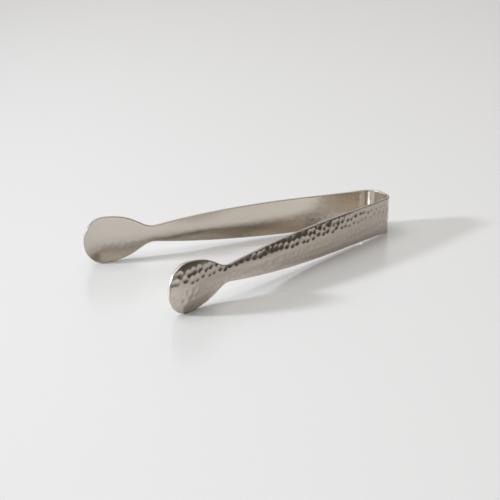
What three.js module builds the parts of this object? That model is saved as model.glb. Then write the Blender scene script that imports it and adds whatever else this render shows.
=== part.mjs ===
// Spring ice tongs bent from one strip of stainless steel sheet, standing on edge as they lie on a table.
// Millimetres. +X points to the paddles, +Y to the left arm, +Z up. The origin is under the middle.
//
// The strip is one continuous body in the real object. Here it is divided where it works as separate
// members: the springy bow at the back, two stiff arms and two dished paddles that hold the ice.

import * as THREE from 'three';

// Sheet and the width of the strip, given as half heights because the strip stands on edge
const SHEET = 1.2;
const BOW_HALF_HEIGHT = 8.1;
const ARM_HALF_HEIGHT = 7.7;
const NECK_HALF_HEIGHT = 3.45;
const PADDLE_HALF_HEIGHT = 9.8;

// Places along the strip, measured back from the tip of a paddle
const WIDEST_FROM_TIP = 8.2;
const NECK_FROM_TIP = 30;
const SHOULDER_FROM_TIP = 98;
const FLARE_FROM_TIP = 118;        // here the strip starts to widen towards the bow
const TIP_FACET_HALF_HEIGHT = 1.2;

// The bend, in plan
const CORNER_SPACING = 12.8;       // between the two corners, measured where web and arms would meet
const CORNER_RADIUS = 5.9;         // at the middle of the sheet
const ARM_ANGLE = radians(12.9);   // each arm leaves its corner this far open from the middle plane
const ARM_CURVE = radians(2.9);    // and turns in by this much on its way to the tip
const ARM_LENGTH = 128;            // from the end of the corner to the tip

// How far the middle of the strip bulges outwards from its two edges
const PADDLE_DISH = 1.8;
const NECK_CROWN = 0.5;
const ARM_CROWN = 1.4;
const CROWN_RISE = 26;             // from the neck to the fully crowned arm
const CROWN_FADE = 42;             // from the fully crowned arm to the flat bow

// Where the strip is divided
const PIVOT_PAST_CORNER = 8.5;     // the bow bends as if hinged here, on the middle of the sheet
const PADDLE_ROOT = 4;             // from the neck to the paddle's end of the arm
const DIVISION_GAP = 0.3;

// Facets
const FACETS_ACROSS = 8;
const CORNER_STEPS = 8;
const ROOT_STEP = 3;
const ARM_STEP = 4;
const PADDLE_STEP = 2.2;
const NOSE_STEPS = 9;

const CORNER_TURN = Math.PI / 2 - ARM_ANGLE;
const HALF_WEB = CORNER_SPACING / 2 - CORNER_RADIUS * Math.tan(CORNER_TURN / 2);
const CORNER_END = HALF_WEB + CORNER_RADIUS * CORNER_TURN;
const TIP = CORNER_END + ARM_LENGTH;
const PIVOT = CORNER_END + PIVOT_PAST_CORNER;
const PADDLE_START = TIP - NECK_FROM_TIP - PADDLE_ROOT;
const WIDEST = TIP - WIDEST_FROM_TIP;

function radians(degrees) {
  return degrees * Math.PI / 180;
}

function smooth(value) {
  const share = THREE.MathUtils.clamp(value, 0, 1);
  return share * share * (3 - 2 * share);
}

// The middle of the sheet in plan, as runs of constant curvature from the middle of the web to the tip.
const RUNS = [
  { length: HALF_WEB, turn: 0 },
  { length: CORNER_RADIUS * CORNER_TURN, turn: -CORNER_TURN },
  { length: ARM_LENGTH, turn: -ARM_CURVE },
];

// The place and heading at distance s along the strip: positive on the left half, negative on the right.
function centreline(s) {
  let left = Math.abs(s);
  let x = 0;
  let y = 0;
  let heading = Math.PI / 2;
  for (const run of RUNS) {
    const length = Math.min(left, run.length);
    const turn = run.turn * length / run.length;
    const chord = turn === 0 ? length : length * Math.sin(turn / 2) / (turn / 2);
    x += chord * Math.cos(heading + turn / 2);
    y += chord * Math.sin(heading + turn / 2);
    heading += turn;
    left -= length;
  }
  return s < 0 ? { x, y: -y, heading: Math.PI - heading } : { x, y, heading };
}

// One edge of the flat blank: x is the distance from the tip, y the half height.
const blank = new THREE.Path();
blank.absellipse(WIDEST_FROM_TIP, 0, WIDEST_FROM_TIP, PADDLE_HALF_HEIGHT, Math.PI, Math.PI / 2, true);
blank.bezierCurveTo(22, PADDLE_HALF_HEIGHT, 24, NECK_HALF_HEIGHT, NECK_FROM_TIP, NECK_HALF_HEIGHT);
blank.bezierCurveTo(32, NECK_HALF_HEIGHT, 54, ARM_HALF_HEIGHT, SHOULDER_FROM_TIP, ARM_HALF_HEIGHT);
blank.lineTo(FLARE_FROM_TIP, ARM_HALF_HEIGHT);
blank.bezierCurveTo(124, ARM_HALF_HEIGHT, 130, BOW_HALF_HEIGHT, TIP, BOW_HALF_HEIGHT);
const BLANK_POINTS = blank.getPoints(60);

function halfHeight(fromTip) {
  const next = BLANK_POINTS.findIndex((point) => point.x >= fromTip);
  if (next <= 0) {
    return BLANK_POINTS[next === 0 ? 0 : BLANK_POINTS.length - 1].y;
  }
  const [a, b] = [BLANK_POINTS[next - 1], BLANK_POINTS[next]];
  return THREE.MathUtils.mapLinear(fromTip, a.x, b.x, a.y, b.y);
}

// The bulge of the strip's middle: a spoon-like dish on the paddle, a crowned arm and a flat bow.
function crown(fromTip) {
  if (fromTip < WIDEST_FROM_TIP) {
    return PADDLE_DISH * (halfHeight(fromTip) / PADDLE_HALF_HEIGHT) ** 2;
  }
  const { lerp } = THREE.MathUtils;
  const toNeck = smooth((fromTip - WIDEST_FROM_TIP) / (NECK_FROM_TIP - WIDEST_FROM_TIP));
  const dish = lerp(PADDLE_DISH, NECK_CROWN, toNeck);
  const arm = lerp(dish, ARM_CROWN, smooth((fromTip - NECK_FROM_TIP) / CROWN_RISE));
  return arm * smooth((ARM_LENGTH - fromTip) / CROWN_FADE);
}

// The strip's section at s: up the outer face, then down the inner one.
function section(s) {
  const { x, y, heading } = centreline(s);
  const fromTip = TIP - Math.abs(s);
  const half = halfHeight(fromTip);
  const bulge = crown(fromTip);
  const at = (share, side) => {
    const out = bulge * (1 - share * share) + side * SHEET / 2;
    return new THREE.Vector3(x - out * Math.sin(heading), y + out * Math.cos(heading), half * share);
  };
  const shares = Array.from({ length: FACETS_ACROSS + 1 }, (_, i) => 2 * i / FACETS_ACROSS - 1);
  return [...shares.map((share) => at(share, 1)), ...shares.reverse().map((share) => at(share, -1))];
}

// A closed body through the sections at the given stations, which run in rising order of s.
function strip(stations) {
  const rings = stations.map(section);
  const count = rings[0].length;
  const last = rings.length - 1;
  const index = [];
  const quad = (a, b, c, d) => index.push(a, b, c, a, c, d);
  for (let k = 0; k < last; k += 1) {
    for (let i = 0; i < count; i += 1) {
      const j = (i + 1) % count;
      quad(k * count + i, k * count + j, (k + 1) * count + j, (k + 1) * count + i);
    }
  }
  for (let i = 0; i < FACETS_ACROSS; i += 1) {
    const [outer, inner] = [i, count - 1 - i];
    quad(outer, inner, inner - 1, outer + 1);
    const end = last * count;
    quad(end + outer, end + outer + 1, end + inner - 1, end + inner);
  }
  const geometry = new THREE.BufferGeometry().setFromPoints(rings.flat());
  geometry.setIndex(index);
  geometry.computeVertexNormals();
  return geometry;
}

// Evenly spaced stations from one place to another, no further apart than step.
function stations(from, to, step) {
  const count = Math.max(1, Math.ceil((to - from) / step));
  return Array.from({ length: count + 1 }, (_, i) => from + (to - from) * i / count);
}

// Stations of one half in rising order of s, turned over for the right half.
function onSide(side, places) {
  const rising = [...new Set(places)].sort((a, b) => a - b);
  return side > 0 ? rising : rising.map((s) => -s).reverse();
}

const HALF_BOW = [
  HALF_WEB,
  ...stations(HALF_WEB, CORNER_END, (CORNER_END - HALF_WEB) / CORNER_STEPS),
  ...stations(CORNER_END, PIVOT - DIVISION_GAP / 2, ROOT_STEP),
];
const ARM = stations(PIVOT + DIVISION_GAP / 2, PADDLE_START - DIVISION_GAP / 2, ARM_STEP);
const NOSE_LIMIT = Math.acos(TIP_FACET_HALF_HEIGHT / PADDLE_HALF_HEIGHT);
const NOSE = stations(0, NOSE_LIMIT, NOSE_LIMIT / NOSE_STEPS)
  .map((angle) => WIDEST + WIDEST_FROM_TIP * Math.sin(angle));
const PADDLE = [...stations(PADDLE_START + DIVISION_GAP / 2, WIDEST, PADDLE_STEP), ...NOSE];

const satinSteel = { color: 0xa9a39c, roughness: 0.34, metalness: 1 };

function member(name, places) {
  const mesh = new THREE.Mesh(strip(places), new THREE.MeshStandardMaterial(satinSteel));
  mesh.name = name;
  return mesh;
}

// The bow is lower than the paddles, so the tongs lie with the paddle end pitched up by this much.
const widestPlace = centreline(WIDEST).x;
const PITCH = Math.asin((PADDLE_HALF_HEIGHT - BOW_HALF_HEIGHT) / widestPlace);

const tongs = new THREE.Group();
tongs.add(member('spring_bow', [...onSide(-1, HALF_BOW), ...onSide(1, HALF_BOW)]));
for (const [hand, side] of [['left', 1], ['right', -1]]) {
  tongs.add(member(`${hand}_arm`, onSide(side, ARM)));
  tongs.add(member(`${hand}_paddle`, onSide(side, PADDLE)));
}
tongs.rotation.y = -PITCH;

const bounds = new THREE.Box3().setFromObject(tongs, true);
const middle = bounds.getCenter(new THREE.Vector3());
tongs.position.set(-middle.x, -middle.y, -bounds.min.z);

const iceTongs = new THREE.Group();
iceTongs.add(tongs);

export default iceTongs;
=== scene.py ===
# Hammered spring ice tongs: one strip of stainless steel sheet, cut, hammered on its outer face, pressed
# into two dished paddles and bent into a bow. The strip is made flat first, as the blank, and one node
# tree then hammers it and bends it along its centreline.

import math

import bmesh
import bpy
import numpy as np
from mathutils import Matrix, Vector


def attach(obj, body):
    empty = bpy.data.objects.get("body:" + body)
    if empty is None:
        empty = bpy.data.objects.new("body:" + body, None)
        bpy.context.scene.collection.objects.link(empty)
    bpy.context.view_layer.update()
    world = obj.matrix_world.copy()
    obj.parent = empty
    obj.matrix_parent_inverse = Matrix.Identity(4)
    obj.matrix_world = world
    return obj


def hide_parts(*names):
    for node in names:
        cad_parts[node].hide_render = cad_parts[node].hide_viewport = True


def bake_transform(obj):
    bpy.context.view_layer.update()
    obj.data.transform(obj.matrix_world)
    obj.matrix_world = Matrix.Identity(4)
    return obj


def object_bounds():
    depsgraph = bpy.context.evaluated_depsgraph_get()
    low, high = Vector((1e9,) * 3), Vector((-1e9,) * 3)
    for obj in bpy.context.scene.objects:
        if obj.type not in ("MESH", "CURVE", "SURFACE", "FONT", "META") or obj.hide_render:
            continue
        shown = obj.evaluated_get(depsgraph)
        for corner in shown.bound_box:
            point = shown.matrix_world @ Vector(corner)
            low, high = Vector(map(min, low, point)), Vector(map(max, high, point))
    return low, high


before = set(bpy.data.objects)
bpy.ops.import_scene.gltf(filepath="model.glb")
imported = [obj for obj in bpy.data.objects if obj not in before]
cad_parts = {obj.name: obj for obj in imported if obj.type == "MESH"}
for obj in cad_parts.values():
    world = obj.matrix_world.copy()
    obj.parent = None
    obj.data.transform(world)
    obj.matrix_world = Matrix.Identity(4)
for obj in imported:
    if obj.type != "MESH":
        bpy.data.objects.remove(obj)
cad_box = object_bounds()

MM = 0.001

# The sheet and the width of the strip, as half heights because the strip stands on edge (mm)
SHEET = 1.2
TABLE_GAP = 0.004      # the lower edges stand this far off the table
BOW_HALF_HEIGHT = 8.1
ARM_HALF_HEIGHT = 7.7
NECK_HALF_HEIGHT = 3.45
PADDLE_HALF_HEIGHT = 9.795

# Places along the strip, measured back from the tip of a paddle (mm)
WIDEST_FROM_TIP = 8.2
NECK_FROM_TIP = 30.0
SHOULDER_FROM_TIP = 98.0
FLARE_FROM_TIP = 118.0

# Where the outline's curves between those places are pulled to, measured in the same way (mm)
PADDLE_PULLS = (22.0, 24.0)
ARM_PULLS = (32.0, 54.0)
BOW_PULLS = (124.0, 130.0)

# The bend in plan (mm and radians)
CORNER_SPACING = 12.8
CORNER_RADIUS = 5.9
ARM_ANGLE = math.radians(12.9)
ARM_CURVE = math.radians(2.9)
ARM_LENGTH = 128.0

# How far the middle of the strip bulges outwards from its two edges (mm)
PADDLE_DISH = 1.79
NECK_CROWN = 0.5
ARM_CROWN = 1.4
CROWN_RISE = 26.0
CROWN_FADE = 42.0

# Where the strip is divided into members, and a reach along the strip to each side of the pivot (mm)
PIVOT_PAST_CORNER = 8.5
PADDLE_ROOT = 4.0
BEND_REACH = 8.5

# Fineness of the skin (mm and counts)
EDGE_ROUND = 0.34
ROUND_STEPS = 3
SKIN_STEP = 0.24
COLUMNS = 76
NOSE_ROWS = 34
JOIN_RING = 0.02       # a narrow ring of faces at each join, so that shading runs straight across it
OUTLINE_POINTS = 120   # points on each curve of the outline
SLOPE_STEP = 0.01      # how far to each side the outline is read for its slope
CENTRELINE_STEP = 0.1

# The hammer (mm): the ball that it ends in, how deep a blow goes, how far apart the blows fall in a row,
# how far apart the rows are and how far a blow strays from its place
HAMMER = {
    "Ball radius": 4.2,
    "Blow depth": 0.25,
    "Blow spacing": 3.0,
    "Row spacing": 2.25,
    "Stray": 0.6,
}
BLOW_SEED = 11         # settles where each blow strays to
BLOW_MARGIN = 1.0      # how far the rows of blows run past the strip's widest edges
SHOW_THROUGH = 0.06    # the share of each dint that shows on the inner face

CORNER_TURN = math.pi / 2 - ARM_ANGLE
HALF_WEB = CORNER_SPACING / 2 - CORNER_RADIUS * math.tan(CORNER_TURN / 2)
CORNER_END = HALF_WEB + CORNER_RADIUS * CORNER_TURN
TIP = CORNER_END + ARM_LENGTH
PIVOT = CORNER_END + PIVOT_PAST_CORNER
PADDLE_START = TIP - NECK_FROM_TIP - PADDLE_ROOT
WIDEST = TIP - WIDEST_FROM_TIP


def linear(hex_colour):
    """A #rrggbb colour as the linear red, green, blue, alpha that shaders take."""
    parts = [int(hex_colour[i:i + 2], 16) / 255 for i in (1, 3, 5)]
    return [c / 12.92 if c <= 0.04045 else ((c + 0.055) / 1.055) ** 2.4 for c in parts] + [1.0]


def add_node(tree, kind, inputs=None, **settings):
    """One node with its settings. inputs gives each input, by name or number, a value or a socket."""
    made = tree.nodes.new(kind)
    for name, value in settings.items():
        setattr(made, name, value)
    for key, value in (inputs or {}).items():
        if isinstance(value, bpy.types.NodeSocket):
            tree.links.new(value, made.inputs[key])
        else:
            made.inputs[key].default_value = value
    return made


# ---------------------------------------------------------------- the strip's rule

def smooth(value):
    share = np.clip(value, 0, 1)
    return share * share * (3 - 2 * share)


def bezier(a, b, c, d):
    t = np.linspace(0, 1, OUTLINE_POINTS)[:, None]
    a, b, c, d = map(np.array, (a, b, c, d))
    return (1 - t) ** 3 * a + 3 * (1 - t) ** 2 * t * b + 3 * (1 - t) * t ** 2 * c + t ** 3 * d


def blank_edge():
    """The upper edge of the flat blank behind the widest place: distance from the tip and half height."""
    runs = [
        bezier((WIDEST_FROM_TIP, PADDLE_HALF_HEIGHT), (PADDLE_PULLS[0], PADDLE_HALF_HEIGHT),
               (PADDLE_PULLS[1], NECK_HALF_HEIGHT), (NECK_FROM_TIP, NECK_HALF_HEIGHT)),
        bezier((NECK_FROM_TIP, NECK_HALF_HEIGHT), (ARM_PULLS[0], NECK_HALF_HEIGHT),
               (ARM_PULLS[1], ARM_HALF_HEIGHT), (SHOULDER_FROM_TIP, ARM_HALF_HEIGHT)),
        bezier((FLARE_FROM_TIP, ARM_HALF_HEIGHT), (BOW_PULLS[0], ARM_HALF_HEIGHT),
               (BOW_PULLS[1], BOW_HALF_HEIGHT), (TIP, BOW_HALF_HEIGHT)),
    ]
    return np.vstack(runs)


EDGE = blank_edge()


def half_height(place):
    """Half the strip's height at a place along it, up to the widest place of the paddle."""
    within = np.minimum(TIP - place, TIP - HALF_WEB)
    return np.interp(within, EDGE[:, 0], EDGE[:, 1])


def crown(place):
    """How far the middle bulges outwards: a dished paddle, a crowned arm and a flat bow."""
    from_tip = TIP - place
    to_neck = smooth((from_tip - WIDEST_FROM_TIP) / (NECK_FROM_TIP - WIDEST_FROM_TIP))
    dish = PADDLE_DISH + (NECK_CROWN - PADDLE_DISH) * to_neck
    arm = dish + (ARM_CROWN - dish) * smooth((from_tip - NECK_FROM_TIP) / CROWN_RISE)
    return arm * smooth((ARM_LENGTH - from_tip) / CROWN_FADE)


def bulge(place, height):
    """The crown's height over any point of the blank, which on the rounded nose is part of a bowl."""
    nose = 1 - ((place - WIDEST) / WIDEST_FROM_TIP) ** 2 - (height / PADDLE_HALF_HEIGHT) ** 2
    arm = crown(place) * (1 - (height / half_height(place)) ** 2)
    return np.where(place > WIDEST, PADDLE_DISH * nose, arm)


def centreline(place):
    """The middle of the sheet in plan: the place and heading at a distance along the left half."""
    x, y, heading, left = 0.0, 0.0, math.pi / 2, place
    runs = [(HALF_WEB, 0.0), (CORNER_RADIUS * CORNER_TURN, -CORNER_TURN), (ARM_LENGTH, -ARM_CURVE)]
    for run_length, run_turn in runs:
        length = min(left, run_length)
        turn = run_turn * length / run_length
        chord = length * math.sin(turn / 2) / (turn / 2) if turn else length
        x += chord * math.cos(heading + turn / 2)
        y += chord * math.sin(heading + turn / 2)
        heading += turn
        left -= length
    return x, y, heading


# The bow is lower than the paddles, so the tongs lie pitched up a little towards them. The outer face of
# the bow is the lowest x of the whole part and its lower edge rests at z 0.
PITCH = math.asin((PADDLE_HALF_HEIGHT - BOW_HALF_HEIGHT) / centreline(WIDEST)[0])
WEB_HALF_HEIGHT = float(half_height(HALF_WEB))
ORIGIN = Vector((
    cad_box[0].x / MM + SHEET / 2 * math.cos(PITCH) + WEB_HALF_HEIGHT * math.sin(PITCH),
    0.0,
    cad_box[0].z / MM + TABLE_GAP + SHEET / 2 * math.sin(PITCH) + WEB_HALF_HEIGHT * math.cos(PITCH),
))


def in_frame(place, side, height=0.0):
    """A point on the middle of the sheet, in metres in the row frame."""
    x, y, _ = centreline(place)
    across = x * math.cos(PITCH) - height * math.sin(PITCH)
    up = x * math.sin(PITCH) + height * math.cos(PITCH)
    return (Vector((across, side * y, up)) + ORIGIN) * MM


# ---------------------------------------------------------------- the flat blank of one member

# The kinds of surface on a member: its two faces, its cut edge and the ends where it meets its neighbour
OUTER, INNER, RIM, JOIN = range(4)


def rows_between(start, end, nose):
    """Rows of the skin's grid: for each, the inset points of the faces and the outline's edge points."""
    count = math.ceil((end - start) / SKIN_STEP)
    places = list(np.linspace(start, end, count + 1))
    places.insert(1, start + JOIN_RING)
    if not nose:
        places.insert(-1, end - JOIN_RING)
    places = np.array(places)
    half = half_height(places)
    slope = (half_height(places + SLOPE_STEP) - half_height(places - SLOPE_STEP)) / (2 * SLOPE_STEP)
    slope[places >= WIDEST - 2 * SLOPE_STEP] = 0
    lean = 1 / np.sqrt(1 + slope ** 2)
    share = np.linspace(-1, 1, COLUMNS + 1)
    along = np.repeat((places + EDGE_ROUND * slope * lean)[:, None], COLUMNS + 1, axis=1)
    height = (half - EDGE_ROUND * lean)[:, None] * share
    edge = np.stack([places, half], axis=1)
    if not nose:
        return along, height, edge, None
    # The rounded nose: a half disc whose grid runs on from the straight rows without a pole
    u = np.linspace(0, 1, NOSE_ROWS + 1)[1:, None]
    disc_x = u * np.sqrt(1 - share ** 2 / 2)
    disc_y = share * np.sqrt(1 - u ** 2 / 2)
    along = np.vstack([along, WIDEST + (WIDEST_FROM_TIP - EDGE_ROUND) * disc_x])
    height = np.vstack([height, (PADDLE_HALF_HEIGHT - EDGE_ROUND) * disc_y])
    side = np.stack([WIDEST + WIDEST_FROM_TIP * disc_x[:, -1], PADDLE_HALF_HEIGHT * disc_y[:, -1]], axis=1)
    front = np.stack([WIDEST + WIDEST_FROM_TIP * disc_x[-1], PADDLE_HALF_HEIGHT * disc_y[-1]], axis=1)
    return along, height, np.vstack([edge, side]), front


def blank_object(name, points, strike, faces, kinds, side):
    """The object of a flat member, with what the hammer and bend tree reads stored on its mesh."""
    raised = bulge(points[:, 0], points[:, 2])
    points[:, 0] *= side
    mesh = bpy.data.meshes.new(name)
    mesh.from_pydata(points * MM, [], faces)
    for label, kind, domain, values in (
        ("strike", "FLOAT", "POINT", strike),
        ("bulge", "FLOAT", "POINT", raised * MM),
        ("surface", "INT", "FACE", kinds),
    ):
        mesh.attributes.new(label, kind, domain).data.foreach_set("value", values)
    whole = bmesh.new()
    whole.from_mesh(mesh)
    bmesh.ops.recalc_face_normals(whole, faces=whole.faces)
    whole.to_mesh(mesh)
    whole.free()
    mesh.polygons.foreach_set("use_smooth", [kind != JOIN for kind in kinds])
    member = bpy.data.objects.new(name, mesh)
    bpy.context.scene.collection.objects.link(member)
    return member


def flat_blank(name, start, end, side, nose=False):
    """A closed flat member of the strip: x along it, y through the sheet (outwards) and z up."""
    along, height, edge, front = rows_between(start, end, nose)
    rows, columns = along.shape
    flat, strike, faces, kinds = [], [], [], []

    def add_points(x, through, z, struck):
        first = len(flat)
        flat.extend(zip(np.ravel(x), np.ravel(np.broadcast_to(through, np.shape(x))), np.ravel(z)))
        strike.extend(np.ravel(np.broadcast_to(struck, np.shape(x))))
        return first

    outer = add_points(along, SHEET / 2, height, 1.0)
    inner = add_points(along, -SHEET / 2, height, SHOW_THROUGH)

    def add_faces(kind, *quads):
        faces.extend(quads)
        kinds.extend([kind] * len(quads))

    for first, kind in ((outer, OUTER), (inner, INNER)):
        for k in range(rows - 1):
            for j in range(columns - 1):
                a = first + k * columns + j
                add_faces(kind, (a, a + 1, a + columns + 1, a + columns))

    # The rim: a chain of grid points and outline points, joined by a rounded profile
    upper = [(k * columns + columns - 1, edge[k]) for k in range(rows)]
    lower = [(k * columns, edge[k] * (1, -1)) for k in range(rows)]
    if nose:
        turn = [((rows - 1) * columns + j, front[j]) for j in range(columns - 2, 0, -1)]
        chains = [upper + turn + lower[::-1]]
    else:
        chains = [upper, lower[::-1]]
    ends = {}
    for chain in chains:
        grid = [g for g, _ in chain]
        out = np.array([p for _, p in chain])
        inset = np.array([(flat[outer + g][0], flat[outer + g][2]) for g in grid])
        rings = [[outer + g for g in grid]]
        angles = [math.pi / 2 * i / ROUND_STEPS for i in range(1, ROUND_STEPS + 1)]
        for sign, share, steps in ((1, 1.0, angles), (-1, SHOW_THROUGH, angles[::-1])):
            for angle in steps:
                at = inset + (out - inset) * math.sin(angle)
                through = sign * (SHEET / 2 - EDGE_ROUND * (1 - math.cos(angle)))
                first = add_points(at[:, 0], through, at[:, 1], share * math.cos(angle) ** 2)
                rings.append(list(range(first, first + len(grid))))
        rings.append([inner + g for g in grid])
        for ring, following in zip(rings, rings[1:]):
            for i in range(len(grid) - 1):
                add_faces(RIM, (ring[i], ring[i + 1], following[i + 1], following[i]))
        for end_index in (0, -1):
            ends[grid[end_index]] = [ring[end_index] for ring in rings]

    for k in ([0] if nose else [0, rows - 1]):
        row = k * columns
        for j in range(columns - 1):
            a, b = outer + row + j, inner + row + j
            add_faces(JOIN, (a, a + 1, b + 1, b))
        add_faces(JOIN, ends[row], ends[row + columns - 1])

    return blank_object(name, np.array(flat), strike, faces, kinds, side)


# ---------------------------------------------------------------- hammering and bending

def centreline_curve():
    """The whole strip's centreline from the right tip to the left tip, in the strip's own plane."""
    places = np.arange(0, TIP, CENTRELINE_STEP).tolist() + [TIP]
    left = [(x, y) for x, y, _ in map(centreline, places)]
    points = [(x, -y) for x, y in left[:0:-1]] + left
    data = bpy.data.curves.new("centreline", "CURVE")
    data.dimensions = "3D"
    spline = data.splines.new("POLY")
    spline.points.add(len(points) - 1)
    for point, (x, y) in zip(spline.points, points):
        point.co = (x * MM, y * MM, 0, 1)
    curve = bpy.data.objects.new("centreline", data)
    bpy.context.scene.collection.objects.link(curve)
    return curve


def forming_tree(outside, inside, edge):
    """Hammers a flat member of the blank, raises its crown and bends it along the centreline."""
    tree = bpy.data.node_groups.new("hammer_and_bend", "GeometryNodeTree")
    for label, kind in (
        ("Blank", "NodeSocketGeometry"), ("Centreline", "NodeSocketObject"),
        *((size, "NodeSocketFloat") for size in HAMMER), ("Seed", "NodeSocketInt"),
        ("Strip length", "NodeSocketFloat"), ("Strip height", "NodeSocketFloat"),
        ("Pitch", "NodeSocketVector"), ("Place", "NodeSocketVector"),
    ):
        tree.interface.new_socket(label, in_out="INPUT", socket_type=kind)
    tree.interface.new_socket("Member", in_out="OUTPUT", socket_type="NodeSocketGeometry")
    given = add_node(tree, "NodeGroupInput").outputs

    # The blows fall in rows over the flat strip, each between two of the next row's, and stray a little
    two_rows = add_node(tree, "ShaderNodeMath", {0: given["Row spacing"], 1: 2.0},
                        operation="MULTIPLY").outputs[0]
    in_a_row = add_node(tree, "ShaderNodeMath", {0: given["Strip length"], 1: given["Blow spacing"]},
                        operation="DIVIDE").outputs[0]
    row_count = add_node(tree, "ShaderNodeMath", {0: given["Strip height"], 1: two_rows},
                         operation="DIVIDE").outputs[0]
    half_spacing = add_node(tree, "ShaderNodeMath", {0: given["Blow spacing"], 1: 0.5},
                            operation="MULTIPLY").outputs[0]
    row = add_node(tree, "GeometryNodeMeshGrid", {
        "Size X": given["Strip length"], "Size Y": given["Strip height"],
        "Vertices X": in_a_row, "Vertices Y": row_count,
    }).outputs["Mesh"]
    half_way = add_node(tree, "ShaderNodeCombineXYZ",
                        {"X": half_spacing, "Y": given["Row spacing"]}).outputs[0]
    next_row = add_node(tree, "GeometryNodeTransform",
                        {"Geometry": row, "Translation": half_way}).outputs[0]
    rows = add_node(tree, "GeometryNodeJoinGeometry", {"Geometry": row})
    tree.links.new(next_row, rows.inputs["Geometry"])
    stray = add_node(tree, "FunctionNodeRandomValue",
                     {0: (-1.0, -1.0, 0.0), 1: (1.0, 1.0, 0.0), "Seed": given["Seed"]},
                     data_type="FLOAT_VECTOR").outputs[0]
    strayed = add_node(tree, "ShaderNodeVectorMath", {0: stray, "Scale": given["Stray"]},
                       operation="SCALE").outputs[0]
    blows = add_node(tree, "GeometryNodeSetPosition",
                     {"Geometry": rows.outputs[0], "Offset": strayed}).outputs[0]

    # Each blow leaves the print of the ball, and where two overlap the deeper one shows
    here = add_node(tree, "ShaderNodeSeparateXYZ",
                    {0: add_node(tree, "GeometryNodeInputPosition").outputs[0]}).outputs
    on_strip = add_node(tree, "ShaderNodeCombineXYZ", {"X": here["X"], "Y": here["Z"]}).outputs[0]
    distance = add_node(tree, "GeometryNodeProximity", {"Geometry": blows, "Sample Position": on_strip},
                        target_element="POINTS").outputs["Distance"]
    squared = add_node(tree, "ShaderNodeMath", {0: distance, 1: 2.0}, operation="POWER").outputs[0]
    ball_width = add_node(tree, "ShaderNodeMath", {0: given["Ball radius"], 1: 2.0},
                          operation="MULTIPLY").outputs[0]
    sag = add_node(tree, "ShaderNodeMath", {0: squared, 1: ball_width}, operation="DIVIDE").outputs[0]
    sunk = add_node(tree, "ShaderNodeMath", {0: given["Blow depth"], 1: sag},
                    operation="SUBTRACT").outputs[0]
    dint = add_node(tree, "ShaderNodeMath", {0: sunk, 1: 0.0}, operation="MAXIMUM").outputs[0]
    soft = add_node(tree, "GeometryNodeBlurAttribute",
                    {"Value": dint, "Iterations": 1, "Weight": 0.5}).outputs[0]

    # Each point takes its own share of the dint: all of it outside, a trace of it inside
    strike = add_node(tree, "GeometryNodeInputNamedAttribute", {"Name": "strike"}).outputs[0]
    raised = add_node(tree, "GeometryNodeInputNamedAttribute", {"Name": "bulge"}).outputs[0]
    pushed = add_node(tree, "ShaderNodeMath", {0: soft, 1: strike}, operation="MULTIPLY").outputs[0]
    crowned = add_node(tree, "ShaderNodeMath", {0: here["Y"], 1: raised}, operation="ADD").outputs[0]
    through = add_node(tree, "ShaderNodeMath", {0: crowned, 1: pushed}, operation="SUBTRACT").outputs[0]

    # The flat place stays on the skin for the patterns that run along the strip
    kept = add_node(tree, "GeometryNodeStoreNamedAttribute",
                    {"Geometry": given["Blank"], "Name": "flat_place",
                     "Value": add_node(tree, "GeometryNodeInputPosition").outputs[0]},
                    data_type="FLOAT_VECTOR", domain="POINT").outputs[0]

    # Bending: each point goes to its place along the centreline, off it by its depth in the sheet
    line = add_node(tree, "GeometryNodeObjectInfo", {"Object": given["Centreline"]}).outputs["Geometry"]
    half_strip = add_node(tree, "ShaderNodeMath", {0: given["Strip length"], 1: 0.5},
                          operation="MULTIPLY").outputs[0]
    length = add_node(tree, "ShaderNodeMath", {0: here["X"], 1: half_strip}, operation="ADD").outputs[0]
    on_line = add_node(tree, "GeometryNodeSampleCurve", {"Curves": line, "Length": length},
                       mode="LENGTH", use_all_curves=True).outputs
    outwards = add_node(tree, "ShaderNodeVectorMath",
                        {0: (0.0, 0.0, 1.0), 1: on_line["Tangent"]}, operation="CROSS_PRODUCT").outputs[0]
    off = add_node(tree, "ShaderNodeVectorMath",
                   {0: outwards, "Scale": through}, operation="SCALE").outputs[0]
    up = add_node(tree, "ShaderNodeCombineXYZ", {"Z": here["Z"]}).outputs[0]
    side = add_node(tree, "ShaderNodeVectorMath", {0: on_line["Position"], 1: off},
                    operation="ADD").outputs[0]
    place = add_node(tree, "ShaderNodeVectorMath", {0: side, 1: up}, operation="ADD").outputs[0]
    bent = add_node(tree, "GeometryNodeSetPosition", {"Geometry": kept, "Position": place}).outputs[0]
    laid = add_node(tree, "GeometryNodeTransform", {
        "Geometry": bent, "Translation": given["Place"], "Rotation": given["Pitch"],
    }).outputs[0]

    made = add_node(tree, "GeometryNodeRealizeInstances", {"Geometry": laid}).outputs[0]
    surface = add_node(tree, "GeometryNodeInputNamedAttribute", {"Name": "surface"},
                       data_type="INT").outputs[0]
    for kind, material in ((OUTER, outside), (INNER, inside), (RIM, edge), (JOIN, edge)):
        chosen = add_node(tree, "FunctionNodeCompare", {2: surface, 3: kind},
                          data_type="INT", operation="EQUAL").outputs[0]
        made = add_node(tree, "GeometryNodeSetMaterial",
                        {"Geometry": made, "Selection": chosen, "Material": material}).outputs[0]
    add_node(tree, "NodeGroupOutput", {"Member": made})
    return tree


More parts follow.
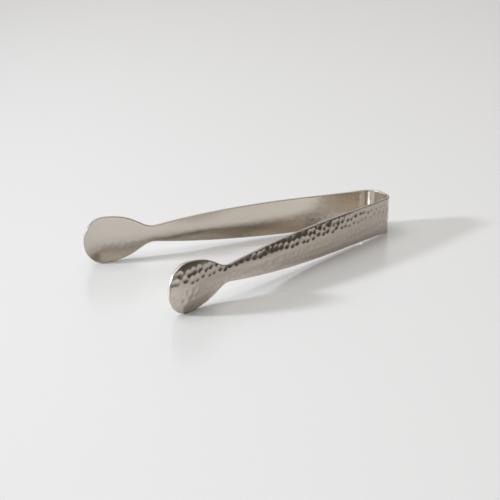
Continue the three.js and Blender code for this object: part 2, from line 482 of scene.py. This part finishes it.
def form(member, tree, curve):
    """Runs the hammer and bend tree on a flat member and keeps the result as a plain mesh."""
    modifier = member.modifiers.new("hammer_and_bend", "NODES")
    modifier.node_group = tree
    values = {
        **{size: value * MM for size, value in HAMMER.items()},
        "Centreline": curve, "Seed": BLOW_SEED,
        "Strip length": 2 * TIP * MM, "Strip height": 2 * (PADDLE_HALF_HEIGHT + BLOW_MARGIN) * MM,
        "Pitch": (0.0, -PITCH, 0.0), "Place": tuple(ORIGIN * MM),
    }
    for item in tree.interface.items_tree:
        if item.in_out == "INPUT" and item.name in values:
            modifier[item.identifier] = values[item.name]
    formed = bpy.data.meshes.new_from_object(
        member.evaluated_get(bpy.context.evaluated_depsgraph_get()))
    member.modifiers.remove(modifier)
    member.data = formed
    formed.name = member.name
    return member


# ---------------------------------------------------------------- materials

def new_material(name):
    material = bpy.data.materials.new(name)
    material.use_nodes = True
    tree = material.node_tree
    shader = next(n for n in tree.nodes if n.type == "BSDF_PRINCIPLED")
    return material, tree, shader


def hammered_stainless():
    """Stainless steel, ball-hammered and then polished: each dint is a small bowl with its own crisp
    reflection, in a warm grey."""
    material, tree, shader = new_material("hammered_polished_stainless")
    place = add_node(tree, "ShaderNodeTexCoord").outputs["Object"]
    # The tone drifts over patches 9 mm across, and the grain that the polish leaves is 0.7 mm
    cloud = add_node(tree, "ShaderNodeTexNoise", {"Vector": place, "Scale": 1 / (9 * MM), "Detail": 3.0})
    tone = add_node(tree, "ShaderNodeValToRGB", {"Fac": cloud.outputs["Fac"]})
    tone.color_ramp.elements[0].color = linear("#CBC2B7")
    tone.color_ramp.elements[1].color = linear("#D4CBC1")
    fine = add_node(tree, "ShaderNodeTexNoise", {"Vector": place, "Scale": 1 / (0.7 * MM), "Detail": 4.0})
    gloss = add_node(tree, "ShaderNodeMapRange",
                     {"Value": fine.outputs["Fac"], "To Min": 0.15, "To Max": 0.25})
    grain = add_node(tree, "ShaderNodeBump",
                     {"Strength": 0.25, "Distance": 0.01 * MM, "Height": fine.outputs["Fac"]})
    tree.links.new(tone.outputs["Color"], shader.inputs["Base Color"])
    tree.links.new(gloss.outputs["Result"], shader.inputs["Roughness"])
    tree.links.new(grain.outputs["Normal"], shader.inputs["Normal"])
    shader.inputs["Metallic"].default_value = 1.0
    return material


def satin_stainless():
    """Stainless steel, satin-brushed along the strip: soft reflections drawn out across fine scratches."""
    material, tree, shader = new_material("satin_brushed_stainless")
    flat = add_node(tree, "ShaderNodeAttribute", attribute_name="flat_place").outputs["Vector"]
    # Scratches are 12 mm long; their real 0.05 mm width is drawn at 0.3 mm so that it shows
    fineness = (1 / (12 * MM), 1 / (4 * MM), 1 / (0.3 * MM))
    stretched = add_node(tree, "ShaderNodeMapping", {"Vector": flat, "Scale": fineness}).outputs[0]
    scratches = add_node(tree, "ShaderNodeTexNoise",
                         {"Vector": stretched, "Scale": 1.0, "Detail": 4.0})
    tone = add_node(tree, "ShaderNodeValToRGB", {"Fac": scratches.outputs["Fac"]})
    tone.color_ramp.elements[0].color = linear("#CFC7BC")
    tone.color_ramp.elements[1].color = linear("#D6CEC4")
    gloss = add_node(tree, "ShaderNodeMapRange",
                     {"Value": scratches.outputs["Fac"], "To Min": 0.17, "To Max": 0.23})
    grain = add_node(tree, "ShaderNodeBump",
                     {"Strength": 0.05, "Distance": 0.01 * MM, "Height": scratches.outputs["Fac"]})
    tree.links.new(tone.outputs["Color"], shader.inputs["Base Color"])
    tree.links.new(gloss.outputs["Result"], shader.inputs["Roughness"])
    tree.links.new(grain.outputs["Normal"], shader.inputs["Normal"])
    shader.inputs["Metallic"].default_value = 1.0
    return material


def tumbled_edge():
    """The cut edge of the sheet, tumbled round: a soft pale line, duller than the polished faces."""
    material, tree, shader = new_material("tumbled_stainless_edge")
    place = add_node(tree, "ShaderNodeTexCoord").outputs["Object"]
    # Patches 4 mm long where the tumbling cut a little more or less
    wear = add_node(tree, "ShaderNodeTexNoise", {"Vector": place, "Scale": 1 / (4 * MM), "Detail": 5.0})
    gloss = add_node(tree, "ShaderNodeMapRange",
                     {"Value": wear.outputs["Fac"], "To Min": 0.36, "To Max": 0.48})
    tree.links.new(gloss.outputs["Result"], shader.inputs["Roughness"])
    shader.inputs["Base Color"].default_value = linear("#C9C2BA")
    shader.inputs["Metallic"].default_value = 1.0
    return material


def white_table():
    """A white lacquered table top: pale and even, with a soft sheen that catches the steel above it."""
    material, _, shader = new_material("white_lacquered_table")
    shader.inputs["Base Color"].default_value = linear("#E9E9E9")
    shader.inputs["Roughness"].default_value = 0.25
    return material


# ---------------------------------------------------------------- the tongs

def build_tongs():
    tree = forming_tree(hammered_stainless(), satin_stainless(), tumbled_edge())
    curve = centreline_curve()
    for hand, side in (("left", 1), ("right", -1)):
        before = in_frame(PIVOT - BEND_REACH, side)
        after = in_frame(PIVOT + BEND_REACH, side)
        flat_bow = flat_blank(f"{hand}_bow_half", 0, PIVOT, side)
        flat_arm = flat_blank(f"{hand}_arm_skin", PIVOT, PADDLE_START, side)
        flat_paddle = flat_blank(f"{hand}_paddle_skin", PADDLE_START, WIDEST, side, nose=True)
        bow, arm, paddle = (form(member, tree, curve) for member in (flat_bow, flat_arm, flat_paddle))
        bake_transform(bow)
        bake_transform(arm)
        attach(paddle, hand)
        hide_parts("spring_bow")
        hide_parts(f"{hand}_arm")
        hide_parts(f"{hand}_paddle")
    bpy.data.objects.remove(curve)


# ---------------------------------------------------------------- the studio

# Each light: the direction it stands in, its distance and size in metres, its power in watts and colour
LIGHTS = {
    "window": ((0.86, -0.38, 0.35), 1.4, (0.17, 0.13), 17.0, "#F0F6FF"),
    "softbox": ((0.39, -0.30, 0.87), 1.5, (1.3, 0.9), 6.0, "#FFFDFA"),
}
# What glows in the room: direction, how far from it the glow ends and where it is full (degrees), colour
DIM_WALL = [0.045, 0.041, 0.036, 1.0]
ROOM = {
    "open side": ((-0.85, 0.5, 0.3), 40, 15, [0.085, 0.075, 0.063, 1.0]),
    "pale side": ((-0.17, 0.98, 0.35), 24, 10, [0.35, 0.34, 0.32, 1.0]),
    "doorway": ((0.42, -0.9, 0.105), 15, 9, [0.95, 0.94, 0.92, 1.0]),
    "backdrop": ((-0.62, -0.78, 0.38), 30, 12, [0.75, 0.74, 0.74, 1.0]),
    "ceiling": ((0.0, 0.0, 1.0), 45, 25, [1.27, 1.24, 1.19, 1.0]),
}
TABLE_RADIUS = 8.0

# The camera, in millimetres: where it stands, what it looks at, its lens and the width of its film
CAMERA_PLACE = Vector((254.9, 351.4, 162.5))
CAMERA_TARGET = Vector((0.0, -9.2, 0.0))
CAMERA_LENS = 80.45
FILM_WIDTH = 36.0


def point_at(thing, location, target):
    thing.location = location
    thing.rotation_mode = "QUATERNION"
    thing.rotation_quaternion = (Vector(target) - Vector(location)).to_track_quat("-Z", "Y")
    bpy.context.scene.collection.objects.link(thing)


def build_camera():
    """A view through a long lens from the paddle end, a little above the table."""
    data = bpy.data.cameras.new("camera")
    data.lens = CAMERA_LENS
    data.sensor_width = FILM_WIDTH
    data.clip_start = 0.01
    data.clip_end = 50
    camera = bpy.data.objects.new("camera", data)
    point_at(camera, CAMERA_PLACE * MM, CAMERA_TARGET * MM)
    bpy.context.scene.camera = camera


def build_table():
    mesh = bpy.data.meshes.new("table_top")
    shape = bmesh.new()
    bmesh.ops.create_circle(shape, cap_ends=True, segments=96, radius=TABLE_RADIUS)
    shape.to_mesh(mesh)
    shape.free()
    mesh.materials.append(white_table())
    table = bpy.data.objects.new("table_top", mesh)
    bpy.context.scene.collection.objects.link(table)


def build_lights():
    for name, (direction, distance, size, power, colour) in LIGHTS.items():
        data = bpy.data.lights.new(name, "AREA")
        data.shape = "RECTANGLE"
        data.size, data.size_y = size
        data.energy = power
        data.color = linear(colour)[:3]
        place = Vector(direction).normalized() * distance
        point_at(bpy.data.objects.new(name, data), place, (0, 0, 0))


def build_room():
    """The room's own light: dim brown walls, and on them the soft round glow of each pale place."""
    world = bpy.data.worlds.new("room")
    bpy.context.scene.world = world
    world.use_nodes = True
    tree = world.node_tree
    background = next(n for n in tree.nodes if n.type == "BACKGROUND")
    direction = add_node(tree, "ShaderNodeVectorMath",
                         {0: add_node(tree, "ShaderNodeTexCoord").outputs["Generated"]},
                         operation="NORMALIZE").outputs[0]
    colour = DIM_WALL
    for towards, edge, core, glow in ROOM.values():
        facing = add_node(tree, "ShaderNodeVectorMath", {0: direction, 1: Vector(towards).normalized()},
                          operation="DOT_PRODUCT").outputs["Value"]
        share = add_node(tree, "ShaderNodeMapRange",
                         {"Value": facing, "From Min": math.cos(math.radians(edge)),
                          "From Max": math.cos(math.radians(core))},
                         interpolation_type="SMOOTHSTEP").outputs["Result"]
        colour = add_node(tree, "ShaderNodeMix", {"Factor": share, 6: colour, 7: glow},
                          data_type="RGBA").outputs[2]
    tree.links.new(colour, background.inputs["Color"])


build_camera()
build_tongs()
build_table()
build_lights()
build_room()
bpy.context.scene.view_settings.view_transform = "Standard"
